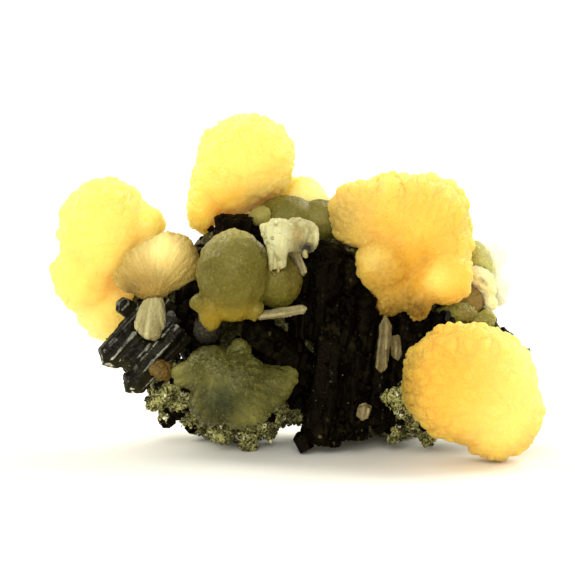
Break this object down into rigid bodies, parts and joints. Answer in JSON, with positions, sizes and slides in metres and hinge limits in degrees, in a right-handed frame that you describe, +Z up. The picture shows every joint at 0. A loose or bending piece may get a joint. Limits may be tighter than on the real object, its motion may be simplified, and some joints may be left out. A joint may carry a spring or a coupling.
{
  "type": "mineral specimen",
  "caption": "Cabinet specimen of honey-yellow stilbite balls and sheaves with olive prehnite balls on dark striated epidote prisms in granular epidote",
  "frame": {"origin": "bottom centre of the whole specimen, on the surface it rests on", "axes": "+X along its length to the right, +Y to its back, +Z up"},
  "size_m": [0.0794, 0.0418, 0.0532],
  "materials": {
    "stilbite_honey": "satin",
    "stilbite_cream": "satin",
    "prehnite_olive": "satin",
    "epidote_black": "gloss",
    "epidote_granular": "matte"
  },
  "bodies": {
    "root": {"epidote_matrix": "epidote_granular", "epidote_prism_cross": "epidote_black", "epidote_prisms_back": "epidote_black", "epidote_prisms_centre": "epidote_black", "epidote_prisms_left": "epidote_black", "epidote_prisms_right": "epidote_black", "epidote_prisms_shoulder": "epidote_black", "epidote_prisms_top": "epidote_black", "epidote_prisms_upper": "epidote_black", "prehnite_ball_back": "prehnite_olive", "prehnite_ball_low": "prehnite_olive", "prehnite_ball_main": "prehnite_olive", "prehnite_crust_right": "prehnite_olive", "prehnite_crust_top": "prehnite_olive", "prehnite_knob_top": "prehnite_olive", "prehnite_lens_right": "prehnite_olive", "prehnite_lump_grey": "prehnite_olive", "stilbite_ball_back": "stilbite_honey", "stilbite_ball_front": "stilbite_honey", "stilbite_ball_left": "stilbite_honey", "stilbite_ball_rear_right": "stilbite_honey", "stilbite_ball_right": "stilbite_honey", "stilbite_ball_top": "stilbite_honey", "stilbite_ball_top_small": "stilbite_honey", "stilbite_blade_beside_ball": "stilbite_cream", "stilbite_blade_low": "stilbite_cream", "stilbite_blade_short": "stilbite_cream", "stilbite_blade_tall": "stilbite_cream", "stilbite_blade_under_ball": "stilbite_cream", "stilbite_bud_left": "stilbite_honey", "stilbite_patch_right": "stilbite_honey", "stilbite_sheaf_left": "stilbite_honey", "stilbite_sheaf_right": "stilbite_cream", "stilbite_sheaf_top": "stilbite_cream", "stilbite_stem_left": "stilbite_cream"}
  },
  "joints": []
}
